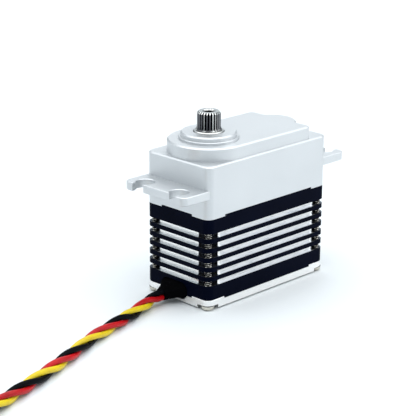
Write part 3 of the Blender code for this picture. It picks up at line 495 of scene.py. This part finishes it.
def add_lead():
    """Three wires twisted round each other, all the way to the plug."""
    line, marks = lead_line()
    turn = twist(line, marks)
    ahead = unit(np.gradient(line, axis=0))
    side = unit(np.cross(ahead, (0, 0, 1)))
    up = np.cross(side, ahead)
    sides = STRAND_SIDES
    cosines, sines = np.cos(circle_angles(sides))[:, None], np.sin(circle_angles(sides))[:, None]
    wander = np.sin(marks / 7.3) * 0.02 + np.sin(marks / 3.1 + 1) * 0.012
    radius = (STRAND_R / math.cos(math.radians(30)) + STRAND_GAP + wander)[:, None]
    verts, faces, slots, along = [], [], [], []
    for number in range(3):
        phase = np.radians(turn - 120 * number)[:, None]
        out = np.cos(phase) * up + np.sin(phase) * side
        centre = line + radius * out
        heading = unit(np.gradient(centre, axis=0))
        out = unit(out - heading * np.sum(out * heading, axis=1)[:, None])
        across = np.cross(heading, out)
        rings = [(centre[i] + STRAND_R * (cosines * out[i] + sines * across[i])) * MM
                 for i in range(len(line))]
        points, quads = rings_mesh(rings)
        start = sum(len(v) for v in verts)
        verts.append(points)
        faces += [tuple(start + k for k in f) for f in quads]
        slots += [number] * len(quads)
        for row in range(len(line) - 1):
            for i in range(sides):
                a, b = i / sides, (i + 1) / sides
                along += [(a, row * 0.1), (b, row * 0.1), (b, row * 0.1 + 0.1), (a, row * 0.1 + 0.1)]
        along += [(0, 0)] * (2 * sides)  # the two ends
    wires = add_mesh("twisted_lead", np.concatenate(verts), faces, [
        wire_insulation("insulation_red", (0.50, 0.004, 0.008), (0.35, 0.002, 0.005), 0.20),
        wire_insulation("insulation_yellow", (0.74, 0.57, 0.010), (0.60, 0.43, 0.008), 0.25),
        wire_insulation("insulation_black", (0.0030, 0.0032, 0.0050), (0.0015, 0.0016, 0.0025), 0.03),
    ], slots=slots)
    layer = wires.data.uv_layers.new(name="along")
    layer.data.foreach_set("uv", np.array(along, np.float32).ravel())
    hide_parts("servo_lead", "lead_coil", "lead_end")


# ---- case screws -----------------------------------------------------------------------------------
def add_case_screw(number, material):
    """Pan head with a round recess, and a rolled thread up its whole shank."""
    name = f"case_screw_{number}"
    low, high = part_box(name)
    x, y = (low.x + high.x) / 2 / MM, (low.y + high.y) / 2 / MM
    pitch, crest, root, point = 0.45, 0.92, 0.72, 0.50
    sides, rows_per_turn = 20, 6
    tip, taper = 27.0, 0.4
    angles = circle_angles(sides)

    def ring(radii, z):
        return np.stack([x + radii * np.cos(angles), y + radii * np.sin(angles), np.full(sides, z)], 1) * MM

    head = (  # radius and height, from the middle of the recess outwards and up to the shank
        (0.001, 0.50), (0.50, 0.45), (0.55, 0.02), (0.88, 0.0), (1.16, 0.09), (1.39, 0.28), (1.50, 0.55),
        (1.53, 0.80), (1.53, 1.13), (1.48, 1.18), (0.94, SCREW_HEAD_TOP),
    )
    rings = [ring(radius, z) for radius, z in head]
    for row in range(int((tip - SCREW_HEAD_TOP - 2 * taper) / pitch * rows_per_turn)):
        z = SCREW_HEAD_TOP + 0.1 + row * pitch / rows_per_turn
        wave = (z / pitch - angles / (2 * math.pi)) % 1.0
        ridge = np.clip(1.5 - np.abs(wave - 0.5) * 4, 0, 1)
        rings.append(ring(root + (crest - root) * ridge, z))
    rings += [ring(root, tip - taper), ring(point, tip)]
    verts, faces = rings_mesh(rings)
    screw = add_mesh(f"threaded_screw_{number}", verts, faces, [material])
    split = screw.modifiers.new("sharp edges", "EDGE_SPLIT")
    split.split_angle, split.use_edge_sharp = math.radians(40), False
    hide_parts(name)


# ---- strain relief -----------------------------------------------------------------------------------
BOOT_SIDES = 32
BOOT_STATIONS = (  # centre x, y and z, half width, half height, and 2 for an oval or more for squarer
    (-17.30, 0.80, 3.00, 3.90, 1.85, 3.0),
    (-18.50, 0.80, 3.00, 4.12, 1.93, 3.0),
    (-19.95, 0.80, 3.00, 4.13, 1.94, 3.0),
    (-20.25, 0.80, 3.00, 4.05, 1.86, 3.0),
    (-20.60, 0.85, 2.95, 3.75, 1.72, 2.8),
    (-21.30, 0.92, 2.85, 3.05, 1.62, 2.6),
    (-22.10, 1.02, 2.68, 2.40, 1.54, 2.4),
    (-22.90, 1.12, 2.50, 2.00, 1.50, 2.2),
    (-23.45, 1.18, 2.38, 1.80, 1.47, 2.1),
    (-23.70, 1.20, 2.32, 1.68, 1.40, 2.0),
    (-23.78, 1.20, 2.30, 1.50, 1.25, 2.0),
    (-23.60, 1.20, 2.30, 1.38, 1.20, 2.0),
)


def add_boot(material):
    """Soft rubber boot: fills the oval hole and narrows to the bundle."""
    c, s = np.cos(circle_angles(BOOT_SIDES)), np.sin(circle_angles(BOOT_SIDES))
    rings = []
    for x, y, z, half_w, half_h, power in BOOT_STATIONS:
        u, v = np.sign(c) * np.abs(c) ** (2 / power), np.sign(s) * np.abs(s) ** (2 / power)
        rings.append(np.stack([np.full(BOOT_SIDES, x), y + half_w * u, z + half_h * v], 1) * MM)
    verts, faces = rings_mesh(rings)
    boot = add_mesh("rubber_boot", verts, faces, [material])
    soften = boot.modifiers.new("round", "SUBSURF")
    soften.levels = soften.render_levels = 1
    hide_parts("strain_relief")


# ---- studio ------------------------------------------------------------------------------------------
def add_area(name, place, target, size, power, tone=(1, 1, 1)):
    """A rectangular softbox that faces its target."""
    light = bpy.data.lights.new(name, "AREA")
    light.shape, light.size, light.size_y = "RECTANGLE", size[0], size[1]
    light.energy, light.color = power, tone
    made = bpy.data.objects.new(name, light)
    made.location = place
    made.rotation_euler = (Vector(target) - Vector(place)).to_track_quat("-Z", "Y").to_euler()
    bpy.context.scene.collection.objects.link(made)


TENT_BRIGHT_SIDE = Vector((0.75, 0.62, 0.10)).normalized()
TENT_STRENGTH = (0.48, 0.62)  # on the side away from the bright one, and on the bright side
TENT_TONE = (0.83, 0.93, 1.0)


def add_world():
    """A white tent, brightest behind the servo and dimmest on the camera's side."""
    world = bpy.data.worlds.new("studio")
    bpy.context.scene.world = world
    world.use_nodes = True
    nodes, links = world.node_tree.nodes, world.node_tree.links
    coordinates = nodes.new("ShaderNodeTexCoord")
    lean = nodes.new("ShaderNodeVectorMath")
    lean.operation = "DOT_PRODUCT"
    lean.inputs[1].default_value = TENT_BRIGHT_SIDE
    strength = nodes.new("ShaderNodeMapRange")
    for socket, value in zip(list(strength.inputs)[1:5], (-1.0, 1.0, *TENT_STRENGTH)):
        socket.default_value = value
    background = nodes["Background"]
    background.inputs["Color"].default_value = (*TENT_TONE, 1)
    links.new(coordinates.outputs["Generated"], lean.inputs[0])
    links.new(lean.outputs["Value"], strength.inputs["Value"])
    links.new(strength.outputs["Result"], background.inputs["Strength"])


def add_studio():
    bpy.context.scene.view_settings.view_transform = "Standard"
    add_world()
    add_floor()
    add_area("top_softbox", place=(0.06, 0.04, 0.62), target=(0.06, 0.04, 0),
             size=(1.35, 1.35), power=10.3, tone=(0.975, 0.99, 1.0))
    add_area("right_softbox", place=(0.42, -0.48, 0.24), target=(0, 0, 0.02),
             size=(0.55, 0.40), power=1.0)


def add_floor():
    mesh = bpy.data.meshes.new("floor")
    work = bmesh.new()
    bmesh.ops.create_grid(work, x_segments=2, y_segments=2, size=3.0)
    work.to_mesh(mesh)
    work.free()
    mesh.materials.append(studio_floor())
    floor = bpy.data.objects.new("floor", mesh)
    bpy.context.scene.collection.objects.link(floor)
    return floor


# ---- put together ------------------------------------------------------------------------------------
add_camera()
add_lead()

_, middle_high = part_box("middle_case")
dress("top_case", blasted_aluminium("blasted_aluminium", (0.655, 0.672, 0.686), 0.45))
# painted light: the cover's aluminium is a lighter copy of the top case's, standing in for light it lacks
# near the floor
dress("bottom_cover", blasted_aluminium("cover_aluminium_painted_lighter", (0.97, 0.965, 0.95), 0.38))
dress("middle_case", anodised_with_bare_grooves(middle_high.x, middle_high.y))

thread = thread_steel()
for screw_number in range(1, 5):
    add_case_screw(screw_number, thread)
add_boot(soft_plastic("boot_rubber", (0.0022, 0.0022, 0.0028), 0.45, level=0.004))

steel = machined_steel("gear_steel")
spline_steel = splined_steel()
brass = machined_steel("machined_brass", (0.80, 0.58, 0.24), 0.24)
bright = machined_steel("bearing_steel", (0.74, 0.74, 0.74), 0.14)
copper = wound_copper()
black_plastic = soft_plastic("black_plastic", (0.020, 0.020, 0.022), 0.42, fine=0.14)
LOOKS = (
    (spline_steel, "output_shaft"),
    (steel, "output_gear", "third_gear_wheel", "third_gear_pinion", "second_gear_wheel",
     "second_gear_pinion", "first_gear_pinion", "centre_axle_pin", "second_axle_pin", "motor_shaft",
     "motor_screw_1", "motor_screw_2"),
    (bright, "upper_bearing_outer_race", "upper_bearing_inner_race", "lower_bearing_outer_race",
     "lower_bearing_inner_race", "upper_bearing_balls", "lower_bearing_balls"),
    (brass, "first_gear_wheel", "motor_pinion", "motor_bush", "motor_terminal_1", "motor_terminal_2",
     "potentiometer_shaft", "connector_contact_1", "connector_contact_2", "connector_contact_3"),
    (copper, "motor_rotor", "commutator"),
    (machined_steel("plated_can", (0.50, 0.50, 0.50), 0.30), "motor_can"),
    (soft_plastic("magnet_ferrite", (0.05, 0.05, 0.055), 0.6), "motor_magnet"),
    (black_plastic, "motor_end_cap", "potentiometer_body", "controller_chip", "driver_chip_1",
     "driver_chip_2", "driver_chip_3", "driver_chip_4", "connector_housing"),
    (soft_plastic("capacitor_sleeve", (0.03, 0.04, 0.12), 0.3), "capacitor"),
    (solder_mask(), "circuit_board"),
    (soft_plastic("wire_red", (0.70, 0.015, 0.02), 0.32), "supply_wire"),
    (soft_plastic("wire_yellow", (0.88, 0.60, 0.02), 0.32), "signal_wire"),
    (soft_plastic("wire_black", (0.014, 0.014, 0.016), 0.32), "ground_wire"),
    (soft_plastic("tie_nylon", (0.80, 0.80, 0.77), 0.42), "coil_tie"),
)
for look, *names in LOOKS:
    for node_name in names:
        dress(node_name, look)

add_studio()
